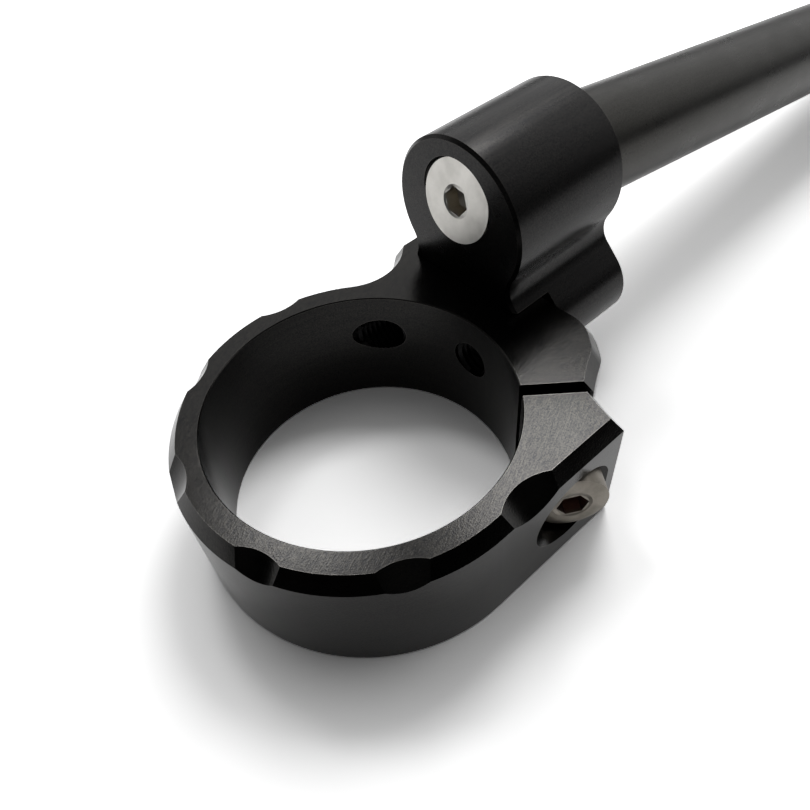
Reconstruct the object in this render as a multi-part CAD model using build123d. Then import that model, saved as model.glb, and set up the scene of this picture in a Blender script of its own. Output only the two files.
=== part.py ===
from build123d import *
import math
import os

# All sizes in millimetres. The fork tube runs along Z through the origin, at
# half the height of the clamp ring, and the bar points towards +X.

# Clamp ring, machined in one piece from aluminium plate
bore_d = 56.0
ring_d = 67.9
ring_h = 26.5
top_bevel_in = 2.0
top_bevel_down = 3.0
edge_break = 0.5
bore_break_in = 0.2
bore_break_down = 0.2

# Saw cut that lets the ring close on the fork tube
gap_turn = -41.0
gap_w = 2.5
gap_near = 0.1

# Front lug: a flat tangent to the ring, with a hollow end up to the saw cut
flat_end_x = 29.3
lug_end_x = 31.7
lug_end_y = -25.6
lug_end_hollow = 0.2

# Rear lug: a pad for the bar holder, blended into the ring on the left
pad_x = 44.5
pad_right_y = -15.3
pad_right_r = 10.0
pad_nose_x = 39.7
pad_nose_y = -21.2
pad_nose_r = 6.0
pad_left_y = 29.9
pad_flank_x = 34.5
pad_flank_r = 2.6
pad_back_r = 2.0
ring_x_at_flank = 25.7
blend_r = 9.5

# Finger flutes across the top bevel
flute_count = 5
flat_flute_turn = -79.8
flute_first = -118.0
flute_step = -40.4
flute_r = 12.0
flute_top_cut = 1.2
flute_lip = 1.0

# Bar holder, machined from aluminium and bolted to the rear lug
holder_front_x = 35.3
holder_back_x = 64.2
barrel_d = 31.5
barrel_y = 11.6
barrel_up = 14.3
foot_rise = 0.15
lobe_r = 9.2
lobe_above_bolt = 1.5
lobe_beside_bolt = 0.3
bolt_mid_y = 10.0
bolt_spacing = 18.4
bolt_down = 9.9
waist_r = 5.0
flank_up = 6.0
holder_bevel = 0.6

# Bar: an aluminium tube, turned down a hair where it sits in the holder
bar_d = 22.2
bar_wall = 3.0
bar_droop = 8.1
bar_start_up = 18.1
bar_reach = 239.2
bar_seat_depth = 10.0
spigot_down = 0.5
bar_end_bevel = 0.8
insert_len = 24.0
insert_seat_up = 0.5

# M8 hardware
thread_d = 8.0
hole_clear = 0.3
thread_clear = 0.03
slide_clear = 0.04
press_clear = 0.01
tip_bevel = 0.8
drill_angle = 30.0

# Countersunk screw that pulls the bar into the holder
csk_head_d = 16.0
csk_rim = 0.4
csk_pocket_clear = 0.45
csk_len = 30.0
csk_hex = 5.0
csk_hex_depth = 3.0
csk_hex_turn = 8.0

# Low head pinch screw, sunk in an oblique pocket a little below half height
pinch_x = 17.9
pinch_down = 0.5
pinch_sunk = 0.3
pinch_turn = 35.0
pinch_head_d = 13.0
pinch_head_h = 5.0
pinch_top_d = 8.2
pinch_rim = 4.6
pinch_crown = 0.06
pinch_len = 25.0
pinch_hex = 5.0
pinch_hex_depth = 2.8
pinch_hex_turn = 21.0
pinch_pocket_d = 15.4
pinch_hole_past = 2.0

# Cap screws that hold the bar holder to the rear lug
cap_head_d = 13.0
cap_head_h = 8.0
cap_len = 20.0
cap_hex = 6.0
cap_hex_depth = 4.0
cap_edge = 0.8
cap_pocket_d = 13.6
cap_pocket_depth = 10.5

# Values that follow from the sizes above
bore_r = bore_d / 2
ring_r = ring_d / 2
half_h = ring_h / 2
barrel_r = barrel_d / 2
barrel_z = half_h + barrel_up
bolt_z = half_h - bolt_down
bolt_ys = (bolt_mid_y - bolt_spacing / 2, bolt_mid_y + bolt_spacing / 2)
lobe_z = bolt_z + lobe_above_bolt
lobe_ys = (bolt_ys[0] - lobe_beside_bolt, bolt_ys[1] + lobe_beside_bolt)
foot_z = half_h + foot_rise
thread_r = thread_d / 2
tapped_r = thread_r + thread_clear
clear_r = thread_r + hole_clear
spigot_r = bar_d / 2 - spigot_down / 2
tube_r = bar_d / 2 - bar_wall
insert_r = tube_r + insert_seat_up / 2
holder_len = holder_back_x - holder_front_x
far = 4 * ring_d

bar_dir = Vector(1, 0, 0).rotate(Axis.Y, bar_droop)
bar_plane = Plane(
    origin=(holder_front_x, barrel_y, half_h + bar_start_up),
    x_dir=(0, 1, 0),
    z_dir=bar_dir,
)
pinch_dir = Vector(0, 1, 0).rotate(Axis.Z, -pinch_turn)
pinch_plane = Plane(
    origin=Vector(pinch_x, -ring_r, -pinch_down) + pinch_dir * pinch_sunk,
    x_dir=(0, 0, 1),
    z_dir=pinch_dir,
)


def rod(plane, radius, start, end):
    """Round bar along the plane's normal between two distances."""
    body = Cylinder(radius, end - start, align=(Align.CENTER, Align.CENTER, Align.MIN))
    return plane * Pos(0, 0, start) * body


def taper(plane, r_start, r_end, start, end):
    """Cone along the plane's normal between two distances."""
    body = Cone(r_start, r_end, end - start, align=(Align.CENTER, Align.CENTER, Align.MIN))
    return plane * Pos(0, 0, start) * body


def hex_socket(plane, across, start, depth, turn):
    """Hexagonal key socket with the drill cone at its floor."""
    side = RegularPolygon(across / 2, 6, major_radius=False, rotation=turn)
    socket = extrude(plane * Pos(0, 0, start) * side, depth, dir=plane.z_dir)
    cone_h = across / 2 * math.tan(math.radians(drill_angle))
    return socket + taper(plane, across / 2, 0, start + depth, start + depth + cone_h)


def hollow(start, end):
    """Middle of a shallow hollow between two corners of a lug."""
    along = (end - start).normalized()
    return (start + end) * 0.5 + Vector(-along.Y, along.X) * lug_end_hollow


def ring_outline():
    """Plan of the clamp ring with both lugs and the saw cut, before the bore."""
    flat_corner = Vector(flat_end_x, -ring_r)
    lug_tip = Vector(lug_end_x, lug_end_y)
    pad_nose = Vector(pad_nose_x, pad_nose_y)
    flank_y = math.sqrt(ring_r ** 2 - ring_x_at_flank ** 2)
    pad_right = Vector(pad_x, pad_right_y)
    pad_back = Vector(pad_x, pad_left_y)
    pad_flank = Vector(pad_flank_x, pad_left_y)
    edges = [
        Line((0, 0), (0, -ring_r)),
        Line((0, -ring_r), flat_corner),
        ThreePointArc(flat_corner, hollow(flat_corner, lug_tip), lug_tip),
        ThreePointArc(lug_tip, hollow(lug_tip, pad_nose), pad_nose),
        Line(pad_nose, pad_right),
        Line(pad_right, pad_back),
        Line(pad_back, pad_flank),
        Line(pad_flank, (ring_x_at_flank, flank_y)),
        Line((ring_x_at_flank, flank_y), (0, 0)),
    ]
    plan = Circle(ring_r) + make_face(edges)
    plan = fillet(plan.vertices().sort_by_distance(pad_flank)[0], pad_flank_r)
    plan = fillet(plan.vertices().sort_by_distance(pad_back)[0], pad_back_r)
    plan = fillet(plan.vertices().sort_by_distance(pad_right)[0], pad_right_r)
    plan = fillet(plan.vertices().sort_by_distance(pad_nose)[0], pad_nose_r)
    plan = fillet(plan.vertices().sort_by_distance((ring_x_at_flank, flank_y))[0], blend_r)
    saw = Pos(ring_d / 2 + bore_r / 2, gap_near + gap_w / 2) * Rectangle(ring_d, gap_w)
    return plan - Rot(0, 0, gap_turn) * saw


def on_saw_cut(edge):
    """True for the edges that the saw cut makes."""
    middle = (edge @ 0.5).rotate(Axis.Z, -gap_turn)
    return middle.X > 0 and abs(middle.Y - gap_near - gap_w / 2) < gap_w / 2 + slide_clear


def flute(turn):
    """One round-bottomed flute, a little steeper at its top than the bevel."""
    top_r = ring_r - top_bevel_in - flute_top_cut
    drop = top_bevel_down + flute_lip
    run = ring_r - top_r
    slope = Vector(run, 0, -drop).normalized()
    outward = Vector(drop, 0, run).normalized()
    start = Vector(top_r, 0, half_h) + outward * flute_r - slope * ring_h
    cutter = rod(Plane(origin=start, x_dir=(0, 1, 0), z_dir=slope), flute_r, 0, 2 * ring_h)
    return Rot(0, 0, turn) * cutter


def clamp_ring():
    body = extrude(Pos(0, 0, -half_h) * ring_outline(), ring_h)
    top = body.faces().sort_by(Axis.Z)[-1]
    outer = [edge for edge in top.outer_wire().edges() if not on_saw_cut(edge)]
    body = chamfer(outer, top_bevel_in, top_bevel_down, reference=top)
    base = body.faces().sort_by(Axis.Z)[0]
    outer = [edge for edge in base.outer_wire().edges() if not on_saw_cut(edge)]
    body = chamfer(outer, edge_break)
    body -= flute(flat_flute_turn)
    for number in range(flute_count):
        body -= flute(flute_first + flute_step * number)
    body -= rod(Plane.XY, bore_r, -ring_h, ring_h)
    for side in (1, -1):
        rim = Plane(origin=(0, 0, side * (half_h - bore_break_down)), z_dir=(0, 0, side))
        body -= taper(rim, bore_r, bore_r + 2 * bore_break_in, 0, 2 * bore_break_down)
    for y in bolt_ys:
        hole = Plane(origin=(0, y, bolt_z), z_dir=(1, 0, 0))
        body -= rod(hole, tapped_r, 0, 2 * pad_x)
    return body - pinch_cut()


def pinch_cut():
    """Head pocket, clearance hole as far as the saw cut and tapped hole beyond it."""
    tip = pinch_head_h + pinch_len
    end = tip + pinch_hole_past
    to_gap = pinch_plane.origin.rotate(Axis.Z, -gap_turn).Y
    saw_at = (gap_near + gap_w / 2 - to_gap) / math.cos(math.radians(-gap_turn - pinch_turn))
    pocket = rod(pinch_plane, pinch_pocket_d / 2, -pinch_pocket_d, pinch_head_h)
    shank = rod(pinch_plane, clear_r, 0, saw_at)
    tapped = rod(pinch_plane, tapped_r, saw_at, end)
    point_h = tapped_r * math.tan(math.radians(drill_angle))
    point = taper(pinch_plane, tapped_r, 0, end, end + point_h)
    return pocket + shank + tapped + point


def holder_profile():
    """End view of the holder: barrel, waist and the two bolt lobes."""
    lean = lobe_r * math.sqrt(0.5)
    right_y = lobe_ys[0] - lean
    left_y = lobe_ys[1] + lean
    shoulder_z = lobe_z + lean
    top_z = half_h + flank_up
    rise = top_z - shoulder_z
    base_z = lobe_z - lobe_r
    web = Polygon(
        (right_y, lobe_z),
        (lobe_ys[0], base_z),
        (lobe_ys[1], base_z),
        (left_y, lobe_z),
        (left_y, shoulder_z),
        (left_y - rise, top_z),
        (right_y + rise, top_z),
        (right_y, shoulder_z),
        align=None,
    )
    profile = Pos(barrel_y, barrel_z) * Circle(barrel_r) + web
    for y in lobe_ys:
        profile += Pos(y, lobe_z) * Circle(lobe_r)
    for y in (right_y + rise, left_y - rise):
        corner = profile.vertices().sort_by_distance((y, top_z))[0]
        profile = fillet(corner, waist_r)
    return profile


def bar_holder():
    plane = Plane(origin=(holder_front_x, 0, 0), x_dir=(0, 1, 0), z_dir=(1, 0, 0))
    body = extrude(plane * holder_profile(), holder_len)
    rear = body.faces().sort_by(Axis.X)[-1]
    front = body.faces().sort_by(Axis.X)[0]
    body = chamfer(rear.outer_wire().edges() + front.outer_wire().edges(), holder_bevel)
    under = Pos(pad_x - far / 2, 0, foot_z - far / 2) * Box(far, far, far)
    body -= under
    head_r = csk_head_d / 2 + csk_pocket_clear
    cone_at = csk_rim - csk_pocket_clear
    body -= rod(bar_plane, head_r, -csk_head_d, cone_at)
    body -= taper(bar_plane, head_r, clear_r, cone_at, cone_at + head_r - clear_r)
    body -= rod(bar_plane, clear_r, 0, bar_seat_depth)
    body -= rod(bar_plane, spigot_r + slide_clear, bar_seat_depth, far)
    for y in bolt_ys:
        hole = Plane(origin=(holder_back_x, y, bolt_z), z_dir=(-1, 0, 0))
        body -= rod(hole, clear_r, 0, holder_len)
        body -= rod(hole, cap_pocket_d / 2, -cap_pocket_depth, cap_pocket_depth)
    return body


def bar_tube():
    """Tube with the turned spigot that stops at the barrel's rear face."""
    droop = math.radians(bar_droop)
    mouth = (holder_len + barrel_r * math.sin(droop)) / math.cos(droop)
    body = rod(bar_plane, spigot_r, bar_seat_depth, mouth)
    body += rod(bar_plane, bar_d / 2, mouth, bar_reach)
    tip = body.faces().sort_by(Axis(bar_plane.origin, bar_plane.z_dir))[-1]
    body = chamfer(tip.edges(), bar_end_bevel)
    body -= rod(bar_plane, tube_r, 0, far)
    return body - rod(bar_plane, insert_r, 0, bar_seat_depth + insert_len)


def bar_insert():
    """Threaded plug pressed into the inner end of the tube."""
    end = bar_seat_depth + insert_len
    plug = rod(bar_plane, insert_r - press_clear, bar_seat_depth, end)
    return plug - rod(bar_plane, tapped_r, 0, far)


def bar_screw():
    head = rod(bar_plane, csk_head_d / 2, 0, csk_rim)
    head += taper(bar_plane, csk_head_d / 2, thread_r, csk_rim, csk_rim + csk_head_d / 2 - thread_r)
    body = head + rod(bar_plane, thread_r, csk_rim, csk_len - tip_bevel)
    body += taper(bar_plane, thread_r, thread_r - tip_bevel, csk_len - tip_bevel, csk_len)
    return body - hex_socket(bar_plane, csk_hex, 0, csk_hex_depth, csk_hex_turn)


def pinch_bolt():
    """Low head screw with a faintly domed top, revolved in its own plane."""
    top = pinch_top_d / 2
    head = pinch_head_d / 2
    tip = pinch_head_h + pinch_len
    rim_at = pinch_head_h - pinch_rim
    chord = Vector(head - top, rim_at)
    dome = Vector(top, 0) + chord / 2 + Vector(chord.Y, -chord.X) * pinch_crown
    outline = [
        Line((0, 0), (top, 0)),
        ThreePointArc((top, 0), dome, (head, rim_at)),
        Line((head, rim_at), (head, pinch_head_h)),
        Line((head, pinch_head_h), (thread_r, pinch_head_h)),
        Line((thread_r, pinch_head_h), (thread_r, tip - tip_bevel)),
        Line((thread_r, tip - tip_bevel), (thread_r - tip_bevel, tip)),
        Line((thread_r - tip_bevel, tip), (0, tip)),
        Line((0, tip), (0, 0)),
    ]
    half = Plane.XZ * make_face(edges_up(outline))
    body = pinch_plane * revolve(half, Axis.Z)
    return body - hex_socket(pinch_plane, pinch_hex, 0, pinch_hex_depth, pinch_hex_turn)


def edges_up(outline):
    """Edges of an outline, ready to be closed into a face."""
    return [piece.edge() for piece in outline]


def holder_bolt(y):
    seat = cap_pocket_depth
    top = seat - cap_head_h
    tip = seat + cap_len
    plane = Plane(origin=(holder_back_x, y, bolt_z), z_dir=(-1, 0, 0))
    body = taper(plane, cap_head_d / 2 - cap_edge, cap_head_d / 2, top, top + cap_edge)
    body += rod(plane, cap_head_d / 2, top + cap_edge, seat)
    body += rod(plane, thread_r, seat, tip - tip_bevel)
    body += taper(plane, thread_r, thread_r - tip_bevel, tip - tip_bevel, tip)
    return body - hex_socket(plane, cap_hex, top, cap_hex_depth, 0)


os.makedirs("parts", exist_ok=True)
export_step(clamp_ring(), "parts/clamp_ring.step")
export_step(bar_holder(), "parts/bar_holder.step")
export_step(bar_tube(), "parts/bar_tube.step")
export_step(bar_insert(), "parts/bar_insert.step")
export_step(bar_screw(), "parts/bar_screw.step")
export_step(pinch_bolt(), "parts/pinch_bolt.step")
export_step(Compound([holder_bolt(y) for y in bolt_ys]), "parts/holder_bolts.step")
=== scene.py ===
import math

import bmesh
import bpy
from mathutils import Matrix, Vector


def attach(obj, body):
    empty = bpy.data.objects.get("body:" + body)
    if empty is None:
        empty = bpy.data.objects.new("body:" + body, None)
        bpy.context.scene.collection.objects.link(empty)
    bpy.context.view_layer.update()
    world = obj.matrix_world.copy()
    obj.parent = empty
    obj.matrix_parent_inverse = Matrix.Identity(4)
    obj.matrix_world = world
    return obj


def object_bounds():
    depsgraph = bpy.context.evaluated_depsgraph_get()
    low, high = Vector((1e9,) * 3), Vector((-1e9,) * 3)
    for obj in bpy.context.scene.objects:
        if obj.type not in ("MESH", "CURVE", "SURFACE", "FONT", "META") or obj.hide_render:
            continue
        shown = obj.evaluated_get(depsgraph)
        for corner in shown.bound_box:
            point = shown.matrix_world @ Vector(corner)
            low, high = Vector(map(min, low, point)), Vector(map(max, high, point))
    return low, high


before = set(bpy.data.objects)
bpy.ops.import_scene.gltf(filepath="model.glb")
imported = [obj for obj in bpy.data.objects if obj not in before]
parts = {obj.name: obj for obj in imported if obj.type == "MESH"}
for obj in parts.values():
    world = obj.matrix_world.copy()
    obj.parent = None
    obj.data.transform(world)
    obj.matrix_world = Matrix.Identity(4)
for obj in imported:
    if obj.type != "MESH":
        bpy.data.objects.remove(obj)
cad_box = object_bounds()

# Clamp ring
# A split ring with two lugs, milled from one block of aluminium and anodised black.
# It slides on the fork tube, and the pinch screw closes its saw cut to grip the tube.
mm = 0.001


def linear(code):
    """sRGB hex code to the linear colour that a socket takes."""
    channels = [int(code[i:i + 2], 16) / 255 for i in (1, 3, 5)]
    return [c / 12.92 if c <= 0.04045 else ((c + 0.055) / 1.055) ** 2.4 for c in channels] + [1]


def node(tree, kind, inputs=(), **settings):
    """Adds a node, with its settings and with a value or a link on each socket named."""
    made = tree.nodes.new("ShaderNode" + kind)
    for name, value in settings.items():
        setattr(made, name, value)
    for socket, value in dict(inputs).items():
        if isinstance(value, bpy.types.NodeSocket):
            tree.links.new(value, made.inputs[socket])
        else:
            made.inputs[socket].default_value = value
    return made


def new_metal(name):
    """A metal with nothing on it yet: its material, node tree and shader."""
    metal = bpy.data.materials.new(name)
    metal.use_nodes = True
    tree = metal.node_tree
    tree.nodes.clear()
    shader = node(tree, "BsdfPrincipled", {"Metallic": 1})
    node(tree, "OutputMaterial", {"Surface": shader.outputs[0]})
    return metal, tree, shader


def dress(name, finish):
    """Gives a CAD node its finish."""
    slots = parts[name].data.materials
    slots.clear()
    slots.append(finish)


def marks(tree, place, size_mm, turn=0, detail=2):
    """Random marks of the given size along each axis, turned about Z."""
    spot = node(tree, "Mapping", {
        "Vector": place,
        "Rotation": (0, 0, math.radians(turn)),
        "Scale": [s * mm for s in size_mm],
    }, vector_type="TEXTURE").outputs[0]
    return node(tree, "TexNoise", {"Vector": spot, "Scale": 1, "Detail": detail}).outputs[0]


def worn_edge(tree, width_mm):
    """1 along the sharp edges, where handling has thinned the film, and 0 on the faces."""
    rounded = node(tree, "Bevel", {"Radius": width_mm * mm}, samples=6).outputs[0]
    facing = node(tree, "NewGeometry").outputs["Normal"]
    same = node(
        tree, "VectorMath", {0: rounded, 1: facing}, operation="DOT_PRODUCT").outputs["Value"]
    return node(tree, "MapRange", {
        "Value": same, "From Min": 0.995, "From Max": 0.9}).outputs[0]


def anodised(name, dark, light, worn, flat_mm, flat_turn, wall_mm, rough_low, rough_high, bump):
    """Dyed oxide film on cut aluminium. It takes nearly all light in and mirrors a little,
    broken up by the cutter's lines, which run one way on level faces and another on walls."""
    metal, tree, shader = new_metal(name)
    spots = node(tree, "TexCoord").outputs
    place = spots["Object"]
    tilt = node(tree, "SeparateXYZ", {0: spots["Normal"]}).outputs["Z"]
    level = node(tree, "MapRange", {
        "Value": tilt, "From Min": 0.9, "From Max": 0.99}).outputs[0]
    faint = node(tree, "MapRange", {
        "Value": marks(tree, place, wall_mm), "To Min": 0.35, "To Max": 0.65}).outputs[0]
    lines = node(tree, "Mix", {
        0: level, 2: faint, 3: marks(tree, place, flat_mm, flat_turn)}).outputs[0]
    speck = marks(tree, place, (0.3, 0.3, 0.3), detail=1)
    cloud = marks(tree, place, (8, 8, 8), detail=4)
    grain = node(tree, "Math", {0: lines, 1: speck}, operation="ADD").outputs[0]
    tone = node(tree, "MapRange", {
        "Value": grain, "From Min": 0.75, "From Max": 1.25}).outputs[0]
    film = node(tree, "Mix", {
        0: tone, 6: linear(dark), 7: linear(light)}, data_type="RGBA").outputs[2]
    edge = node(
        tree, "Math", {0: worn_edge(tree, 0.2), 1: cloud}, operation="MULTIPLY").outputs[0]
    colour = node(tree, "Mix", {
        0: edge, 6: film, 7: linear(worn)}, data_type="RGBA").outputs[2]
    rough = node(tree, "MapRange", {
        "Value": cloud, "From Min": 0.3, "From Max": 0.7,
        "To Min": rough_low, "To Max": rough_high}).outputs[0]
    relief = node(tree, "Bump", {
        "Height": grain, "Strength": bump, "Distance": 0.01 * mm}).outputs[0]
    tree.links.new(colour, shader.inputs["Base Color"])
    tree.links.new(rough, shader.inputs["Roughness"])
    tree.links.new(relief, shader.inputs["Normal"])
    return metal


# Satin black with short slanting cutter lines on the top, which glint where they face a lamp.
# The lines are drawn 0.14 mm wide, coarser than real ones may be, so that they show.
dress("clamp_ring", anodised(
    "anodised_aluminium_milled", dark="#252526", light="#363533", worn="#777571",
    flat_mm=(1.6, 0.14, 0.14), flat_turn=24, wall_mm=(30, 30, 1.2),
    rough_low=0.15, rough_high=0.2, bump=1.0))

# Tapped holes
# M8 threads cut through the rear lug, which open into the bore in front of the cap screws.
# Their ridges are the ring's own metal, end short of the screws' tips and are cut at the bore.
pitch = 1.25
thread_root = 4.05
thread_crest = 3.35
flank_width = 0.5
crest_width = 0.15
ridge_width = 2 * flank_width + crest_width
hole_height = 3.35
hole_end = 33.0
bore_clear = 28.05
turn_steps = 48

# Duller and darker than the milled faces, because a tap tears the metal.
tapped = anodised(
    "anodised_aluminium_tapped", dark="#1c1c1d", light="#262626", worn="#4a4948",
    flat_mm=(1.0, 0.3, 0.3), flat_turn=0, wall_mm=(1.0, 0.3, 0.3),
    rough_low=0.35, rough_high=0.45, bump=0.3)
for name, across, start in (("thread_right", 0.8, 27.4), ("thread_left", 19.2, 15.0)):
    thread = bmesh.new()
    profile = (
        (start, thread_root),
        (start + flank_width, thread_crest),
        (start + flank_width + crest_width, thread_crest),
        (start + ridge_width, thread_root))
    ridge = [
        thread.verts.new((x * mm, across * mm, (hole_height + r) * mm)) for x, r in profile]
    sides = [thread.edges.new(pair) for pair in zip(ridge, ridge[1:])]
    turns = int((hole_end - start - ridge_width) / pitch)
    bmesh.ops.spin(
        thread, geom=ridge + sides, cent=(0, across * mm, hole_height * mm), axis=(1, 0, 0),
        dvec=(pitch * mm / turn_steps, 0, 0), angle=math.tau * turns, steps=turn_steps * turns)
    in_bore = [v for v in thread.verts if math.hypot(v.co.x, v.co.y) < bore_clear * mm]
    bmesh.ops.delete(thread, geom=in_bore, context="VERTS")
    bmesh.ops.recalc_face_normals(thread, faces=thread.faces)
    thread_mesh = bpy.data.meshes.new(name)
    thread.to_mesh(thread_mesh)
    thread.free()
    thread_mesh.materials.append(tapped)
    thread_piece = bpy.data.objects.new(name, thread_mesh)
    bpy.context.scene.collection.objects.link(thread_piece)
    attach(thread_piece, "root")

# Bar holder
# A barrel on a two-lobed foot, milled from aluminium and anodised black like the ring.
# Two cap screws from behind hold its foot to the ring's rear lug.

# Satin black with long faint passes of the cutter along the barrel.
dress("bar_holder", anodised(
    "anodised_aluminium_machined", dark="#252526", light="#353433", worn="#5f5d5a",
    flat_mm=(14, 0.7, 0.7), flat_turn=0, wall_mm=(14, 0.7, 0.7),
    rough_low=0.25, rough_high=0.31, bump=0.2))

# Bar
# A drawn aluminium tube of the standard handlebar size.
# Its turned end sits in the barrel, and a countersunk screw pulls it home.

# Anodised over the drawn skin, which leaves it a little warmer, paler and softer in sheen.
dress("bar_tube", anodised(
    "anodised_aluminium_drawn_tube", dark="#2e2d2b", light="#3b3a37", worn="#5c5a56",
    flat_mm=(25, 0.8, 0.8), flat_turn=0, wall_mm=(25, 0.8, 0.8),
    rough_low=0.26, rough_high=0.33, bump=0.15))


# Threaded insert
# A turned aluminium plug, left plain, pressed into the bar's inner end.
# It takes the thread of the countersunk screw.
def plain_metal(name, dark, light, rough_low, rough_high):
    """Bare turned or tumbled metal: a fine grain and faint stains."""
    metal, tree, shader = new_metal(name)
    place = node(tree, "TexCoord").outputs["Object"]
    grain = marks(tree, place, (0.25, 0.25, 0.25), detail=3)
    stain = marks(tree, place, (4, 4, 4), detail=5)
    tone = node(tree, "MapRange", {
        "Value": stain, "From Min": 0.35, "From Max": 0.65}).outputs[0]
    colour = node(tree, "Mix", {
        0: tone, 6: linear(dark), 7: linear(light)}, data_type="RGBA").outputs[2]
    rough = node(tree, "MapRange", {
        "Value": grain, "From Min": 0.3, "From Max": 0.7,
        "To Min": rough_low, "To Max": rough_high}).outputs[0]
    relief = node(tree, "Bump", {
        "Height": grain, "Strength": 0.2, "Distance": 0.01 * mm}).outputs[0]
    tree.links.new(colour, shader.inputs["Base Color"])
    tree.links.new(rough, shader.inputs["Roughness"])
    tree.links.new(relief, shader.inputs["Normal"])
    return metal


# Bare aluminium, bright and slightly cool.
dress("bar_insert", plain_metal(
    "aluminium_turned", dark="#b8b8ba", light="#cbcbcd", rough_low=0.3, rough_high=0.42))


# Countersunk screw
# A stainless M8 hexagon socket screw with a turned head, pulled flush into the barrel.
# Its key socket is punched cold, with a small countersunk mouth.
def turned_head(metal, centre_mm, turn, mouth_mm, deep):
    """Turned rings about the screw's axis, a mouth round the key socket, and a tint towards the
    deep colour further down the socket.
    The rings are drawn 0.3 mm apart, coarser than the tool left them, so that they show."""
    tree = metal.node_tree
    shader = tree.nodes["Principled BSDF"]
    colour = shader.inputs["Base Color"].links[0].from_socket
    relief = shader.inputs["Normal"].links[0].from_socket
    spot = node(tree, "Mapping", {
        "Vector": node(tree, "TexCoord").outputs["Object"],
        "Location": [c * mm for c in centre_mm],
        "Rotation": [math.radians(a) for a in turn],
        "Scale": (mm, mm, mm),
    }, vector_type="TEXTURE").outputs[0]
    along = node(tree, "SeparateXYZ", {0: spot}).outputs
    off = node(tree, "CombineXYZ", {"Y": along["Y"], "Z": along["Z"]}).outputs[0]
    out = node(tree, "VectorMath", {0: off}, operation="LENGTH").outputs["Value"]
    rings = node(tree, "TexWave", {
        "Vector": spot, "Scale": 1, "Distortion": 1.5, "Detail": 1,
    }, wave_type="RINGS", rings_direction="X").outputs["Fac"]
    mouth = node(tree, "MapRange", {
        "Value": out, "From Min": mouth_mm - 0.6, "From Max": mouth_mm}).outputs[0]
    relief = node(tree, "Bump", {
        "Height": rings, "Strength": 0.4, "Distance": 0.01 * mm, "Normal": relief}).outputs[0]
    relief = node(tree, "Bump", {
        "Height": mouth, "Distance": 0.45 * mm, "Normal": relief}).outputs[0]
    # Inside the key socket the colour is tinted towards deep, more the further in it goes.
    inside = node(tree, "MapRange", {
        "Value": out, "From Min": 3.1, "From Max": 2.8}).outputs[0]
    depth = node(tree, "MapRange", {
        "Value": along["X"], "From Min": 0.05, "From Max": 0.8}).outputs[0]
    socket_depth_tint = node(tree, "Math", {0: inside, 1: depth}, operation="MULTIPLY").outputs[0]
    colour = node(tree, "Mix", {
        0: socket_depth_tint, 6: colour, 7: linear(deep)}, data_type="RGBA").outputs[2]
    tree.links.new(colour, shader.inputs["Base Color"])
    tree.links.new(relief, shader.inputs["Normal"])
    return metal


# Bright stainless with a soft satin sheen.
dress("bar_screw", turned_head(
    plain_metal(
        "stainless_steel_satin", dark="#c6c4bf", light="#dbd9d4", rough_low=0.3, rough_high=0.42),
    centre_mm=(35.3, 11.6, 31.35), turn=(0, 8.1, 0), mouth_mm=3.2, deep="#cfc9be"))

# Pinch screw
# A stainless M8 socket screw with a low head, in its oblique pocket in the front lug.
# It pulls the saw cut together, and its key socket is tinted brown, more so further in.

# Stainless dulled by handling, warmer and rougher than the other screws.
dress("pinch_bolt", turned_head(
    plain_metal(
        "stainless_steel_dull", dark="#7f7a71", light="#99938a", rough_low=0.4, rough_high=0.55),
    centre_mm=(18.07, -33.7, -0.5), turn=(0, 0, 55), mouth_mm=3.5, deep="#8a7268"))

# Cap screws
# Two stainless M8 cap screws, sunk in pockets at the back of the holder's lobes.
# They go through the lobes into the tapped holes of the ring's rear lug.

# Turned stainless, a little greyer than the countersunk screw.
dress("holder_bolts", plain_metal(
    "stainless_steel_turned", dark="#bcb9b3", light="#cfccc6", rough_low=0.32, rough_high=0.45))

# Studio
# White paper under the part, a pale wall on the far side with two softboxes high before it,
# and a dim room on the camera's side.
floor_z = cad_box[0].z
table = bmesh.new()
bmesh.ops.create_circle(table, cap_ends=True, segments=96, radius=2.5)
bmesh.ops.translate(table, verts=table.verts, vec=(0, 0, floor_z))
floor_mesh = bpy.data.meshes.new("floor")
table.to_mesh(floor_mesh)
table.free()
floor = bpy.data.objects.new("floor", floor_mesh)
bpy.context.scene.collection.objects.link(floor)

# The sheet of paper ends just in front of the part, and the bench beyond it is dark in the
# metal's reflections. To the camera the paper goes on, and far away it is plain white.
paper = bpy.data.materials.new("paper_white")
paper.use_nodes = True
tree = paper.node_tree
tree.nodes.clear()
ray = node(tree, "LightPath").outputs
seen = node(tree, "Math", {
    0: ray["Is Camera Ray"], 1: ray["Is Transmission Ray"]}, operation="MAXIMUM").outputs[0]
spot = node(tree, "TexCoord").outputs["Object"]
near = node(
    tree, "VectorMath", {0: spot, 1: (-0.6, -0.8, 0)}, operation="DOT_PRODUCT").outputs["Value"]
sheet = node(tree, "MapRange", {
    "Value": near, "From Min": 0.072, "From Max": 0.115, "To Min": 1, "To Max": 0.03}).outputs[0]
shade = node(tree, "Math", {0: seen, 1: sheet}, operation="MAXIMUM").outputs[0]
white = node(tree, "MapRange", {"Value": seen, "To Min": 1.6, "To Max": 2.05}).outputs[0]
tint = node(tree, "Math", {0: shade, 1: white}, operation="MULTIPLY").outputs[0]
matt = node(tree, "BsdfDiffuse", {"Color": tint}).outputs[0]
glow = node(tree, "Emission", {"Color": (1, 1, 1, 1), "Strength": 1}).outputs[0]
apart = node(tree, "VectorMath", {0: spot}, operation="LENGTH").outputs["Value"]
fade = node(tree, "MapRange", {
    "Value": apart, "From Min": 0.35, "From Max": 0.7}).outputs[0]
beyond = node(tree, "Math", {0: seen, 1: fade}, operation="MULTIPLY").outputs[0]
surface = node(tree, "MixShader", {0: beyond, 1: matt, 2: glow}).outputs[0]
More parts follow.
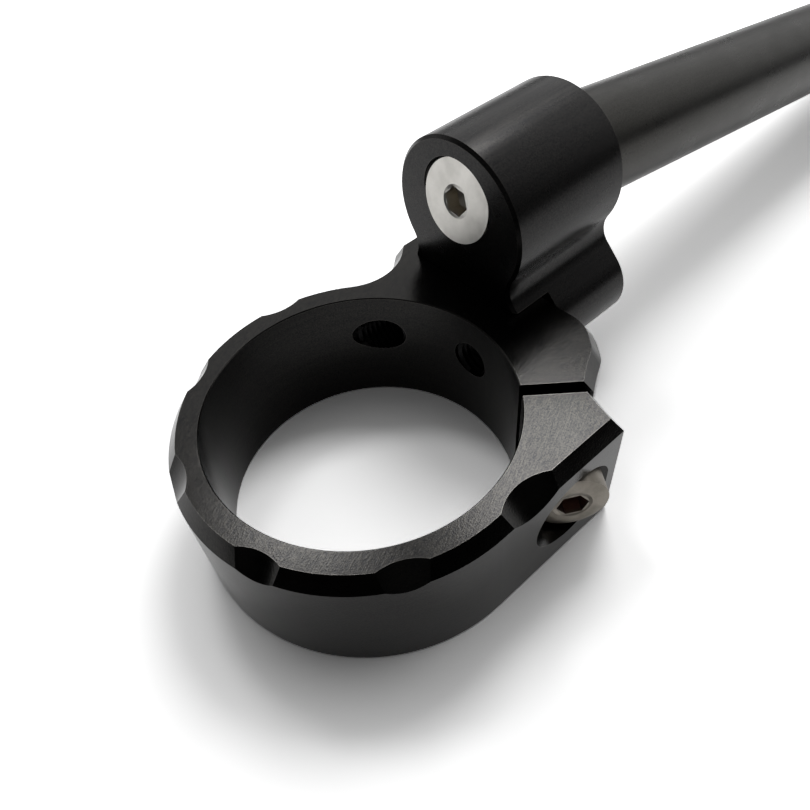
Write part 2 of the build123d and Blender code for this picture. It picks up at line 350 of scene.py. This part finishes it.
node(tree, "OutputMaterial", {"Surface": surface})
floor_mesh.materials.append(paper)

# The room is dark at the horizon, pale on the far wall and bright overhead.
far_wall = (0.79, 0.615, 0)
horizon, overhead = (0.08, 0.04), (1.0, 1.4)
wall_levels = ((0.22, 0.7), (0.6, 1.0), (0.86, 0.7))
world = bpy.data.worlds.new("room")
bpy.context.scene.world = world
world.use_nodes = True
tree = world.node_tree
tree.nodes.clear()
way = node(tree, "TexCoord").outputs["Generated"]
rise = node(tree, "SeparateXYZ", {0: way}).outputs["Z"]
levels = node(tree, "ValToRGB", {0: rise})
stops = levels.color_ramp.elements
for stop, (height, grey) in zip(stops, (horizon, overhead)):
    stop.position, stop.color = height, (grey, grey, grey, 1)
for height, grey in wall_levels:
    stops.new(height).color = (grey, grey, grey, 1)
far = node(
    tree, "VectorMath", {0: way, 1: far_wall}, operation="DOT_PRODUCT").outputs["Value"]
side = node(tree, "MapRange", {
    "Value": far, "From Min": 0.0, "From Max": 0.5, "To Min": 0.1, "To Max": 1.15}).outputs[0]
room = node(tree, "Background", {"Color": levels.outputs[0], "Strength": side}).outputs[0]
plain = node(tree, "Background", {"Color": (1, 1, 1, 1), "Strength": 1}).outputs[0]
ray = node(tree, "LightPath").outputs
seen = node(tree, "Math", {
    0: ray["Is Camera Ray"], 1: ray["Is Transmission Ray"]}, operation="MAXIMUM").outputs[0]
sight = node(tree, "MixShader", {0: seen, 1: room, 2: plain}).outputs[0]
node(tree, "OutputWorld", {"Surface": sight})

# Softboxes: azimuth from the bar's direction, elevation, width, height and power.
aim = Vector((0.005, -0.005, 0.0))
lamp_distance = 0.6
for name, azimuth, elevation, width, tall, power in (
        ("softbox_right", 29, 56, 0.2, 0.19, 0.8),
        ("softbox_left", 74, 58, 0.115, 0.115, 0.31)):
    lamp = bpy.data.lights.new(name, "AREA")
    lamp.shape = "ELLIPSE"
    lamp.size, lamp.size_y = width, tall
    lamp.energy = power
    softbox = bpy.data.objects.new(name, lamp)
    bpy.context.scene.collection.objects.link(softbox)
    round_z, up_from = math.radians(azimuth), math.radians(elevation)
    towards = Vector((
        math.cos(up_from) * math.cos(round_z),
        math.cos(up_from) * math.sin(round_z),
        math.sin(up_from)))
    softbox.location = aim + towards * lamp_distance
    softbox.rotation_euler = towards.to_track_quat("Z", "Y").to_euler()

# Camera
# The photograph's own viewpoint, close above the ring.
# Its right, up and back directions and its place come from a fit to the part's edges.
camera_data = bpy.data.cameras.new("camera")
camera_data.sensor_width = 36
camera_data.lens = 31.991
camera_data.clip_start = 0.005
camera = bpy.data.objects.new("camera", camera_data)
bpy.context.scene.collection.objects.link(camera)
right = Vector((0.7426, -0.6654, -0.0753))
up = Vector((0.5438, 0.5336, 0.6478))
back = Vector((-0.3909, -0.522, 0.7581))
camera.matrix_world = Matrix((right, up, back)).transposed().to_4x4()
camera.location = (-0.04268, -0.07012, 0.10715)
bpy.context.scene.camera = camera

bpy.context.scene.view_settings.view_transform = "Standard"
